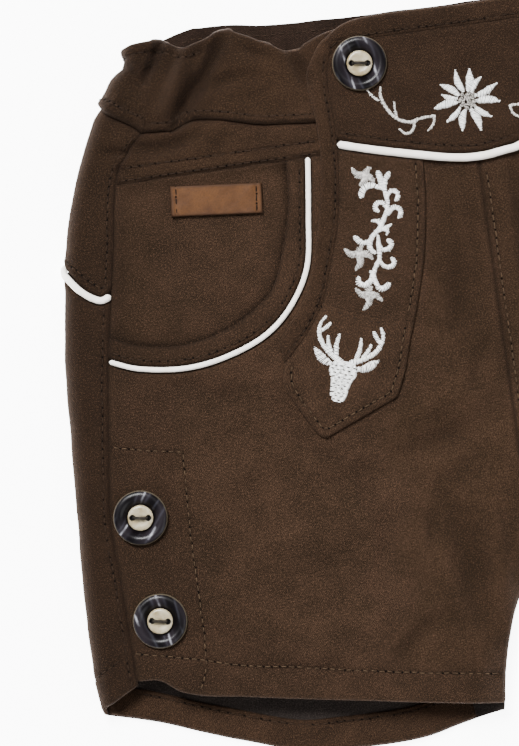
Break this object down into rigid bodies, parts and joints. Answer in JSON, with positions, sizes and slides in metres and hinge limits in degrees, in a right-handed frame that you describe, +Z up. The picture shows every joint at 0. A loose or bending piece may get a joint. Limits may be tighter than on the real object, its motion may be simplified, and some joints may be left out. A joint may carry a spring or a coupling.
{
  "type": "short lederhosen, laid flat",
  "caption": "Child's short lederhosen laid flat, with a buttoned front flap, piped curved pockets, embroidered straps and an elastic waist.",
  "frame": {"origin": "on the surface it lies on, under the middle of the garment's width and length", "axes": "+X to the viewer's right across the garment, +Y up to the waist, +Z up out of the front"},
  "size_m": [0.2974, 0.2426, 0.0185],
  "materials": {
    "suede": "dark brown suede-like twill with a short nap",
    "suede_band": "the same dark brown cloth, folded into bands",
    "piping": "white corded cotton piping",
    "leather": "tan leather, matt, bare",
    "horn": "dark blue-grey imitation horn with pale streaks, glossy",
    "cream": "cream imitation horn, satin",
    "thread": "dark grey sewing thread"
  },
  "bodies": {
    "root": {"flap_panel": "suede", "flap_top_band": "suede_band", "flap_piping": "piping", "front_leg_L": "suede", "pocket_panel_L": "suede", "pocket_facing_L": "suede", "pocket_piping_L": "piping", "hip_band_L": "suede", "waistband_front_L": "suede_band", "flap_side_band_L": "suede_band", "strap_L": "suede", "strap_patch_L": "suede", "back_leg_L": "suede", "back_yoke_L": "suede", "yoke_piping_L": "piping", "back_hem_L": "suede_band", "front_leg_R": "suede", "pocket_panel_R": "suede", "pocket_facing_R": "suede", "pocket_piping_R": "piping", "hip_band_R": "suede", "waistband_front_R": "suede_band", "flap_side_band_R": "suede_band", "strap_R": "suede", "strap_patch_R": "suede", "back_leg_R": "suede", "back_yoke_R": "suede", "yoke_piping_R": "piping", "back_hem_R": "suede_band", "waistband_back": "suede_band", "leather_label": "leather", "button_rim_flap_L": "horn", "button_boss_flap_L": "cream", "button_thread_flap_L": "thread", "button_rim_flap_R": "horn", "button_boss_flap_R": "cream", "button_thread_flap_R": "thread", "button_rim_leg_upper_L": "horn", "button_boss_leg_upper_L": "cream", "button_thread_leg_upper_L": "thread", "button_rim_leg_lower_L": "horn", "button_boss_leg_lower_L": "cream", "button_thread_leg_lower_L": "thread", "button_rim_leg_upper_R": "horn", "button_boss_leg_upper_R": "cream", "button_thread_leg_upper_R": "thread", "button_rim_leg_lower_R": "horn", "button_boss_leg_lower_R": "cream", "button_thread_leg_lower_R": "thread"}
  },
  "joints": []
}
